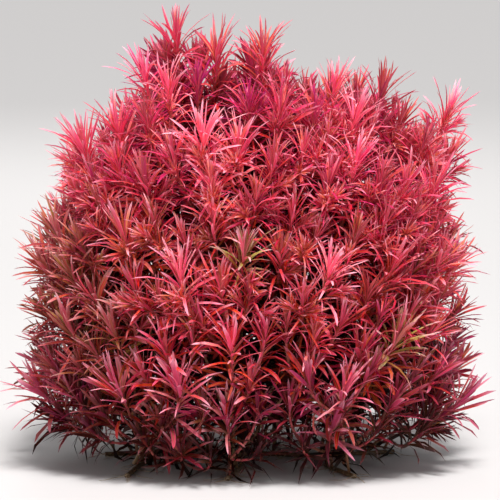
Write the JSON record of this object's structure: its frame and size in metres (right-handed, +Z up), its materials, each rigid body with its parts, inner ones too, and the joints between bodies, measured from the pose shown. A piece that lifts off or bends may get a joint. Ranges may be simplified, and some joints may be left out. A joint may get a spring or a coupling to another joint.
{
  "type": "rotala bush",
  "caption": "Dense bush of a narrow-leaved red aquarium plant, cut flat at its creeping stems, with leafy shoots that end in rosettes.",
  "frame": {"origin": "on the ground under the middle of the bush, on the flat underside of the main creeping stem", "axes": "+Z up, -Y to the front as the picture shows it, +X to the picture's right"},
  "size_m": [0.2652, 0.2231, 0.2508],
  "materials": {
    "coral_leaves": "satin, coral pink young leaves",
    "red_leaves": "satin, red leaves",
    "olive_leaves": "satin, brownish olive leaves",
    "wine_leaves": "satin, dark wine-red leaves",
    "creeping_stems": "matt, green-brown stem"
  },
  "bodies": {
    "root": {"back_shoot_01": "wine_leaves", "back_shoot_02": "wine_leaves", "back_shoot_03": "wine_leaves", "back_shoot_04": "wine_leaves", "back_shoot_05": "red_leaves", "back_shoot_06": "red_leaves", "back_shoot_07": "red_leaves", "back_shoot_08": "olive_leaves", "back_shoot_09": "coral_leaves", "back_shoot_10": "coral_leaves", "back_shoot_11": "coral_leaves", "back_shoot_12": "coral_leaves", "back_shoot_13": "coral_leaves", "creeping_stem_back_left": "creeping_stems", "creeping_stem_back_middle": "creeping_stems", "creeping_stem_back_right": "creeping_stems", "creeping_stem_front_left": "creeping_stems", "creeping_stem_front_middle": "creeping_stems", "creeping_stem_front_right": "creeping_stems", "creeping_stem_main": "creeping_stems", "front_shoot_01": "coral_leaves", "front_shoot_02": "coral_leaves", "front_shoot_03": "coral_leaves", "front_shoot_04": "coral_leaves", "front_shoot_05": "coral_leaves", "front_shoot_06": "coral_leaves", "front_shoot_07": "coral_leaves", "front_shoot_08": "coral_leaves", "front_shoot_09": "coral_leaves", "front_shoot_10": "coral_leaves", "front_shoot_11": "coral_leaves", "front_shoot_12": "coral_leaves", "front_shoot_13": "coral_leaves", "front_shoot_14": "coral_leaves", "front_shoot_15": "red_leaves", "front_shoot_16": "red_leaves", "front_shoot_17": "olive_leaves", "front_shoot_18": "olive_leaves", "front_shoot_19": "red_leaves", "front_shoot_20": "red_leaves", "front_shoot_21": "red_leaves", "front_shoot_22": "red_leaves", "front_shoot_23": "red_leaves", "front_shoot_24": "red_leaves", "front_shoot_25": "olive_leaves", "front_shoot_26": "olive_leaves", "front_shoot_27": "red_leaves", "front_shoot_28": "red_leaves", "front_shoot_29": "red_leaves", "front_shoot_30": "red_leaves", "front_shoot_31": "red_leaves", "front_shoot_32": "wine_leaves", "front_shoot_33": "wine_leaves", "front_shoot_34": "wine_leaves", "front_shoot_35": "wine_leaves", "front_shoot_36": "wine_leaves", "front_shoot_37": "wine_leaves", "front_shoot_38": "wine_leaves", "front_shoot_39": "wine_leaves", "front_shoot_40": "wine_leaves"}
  },
  "joints": []
}
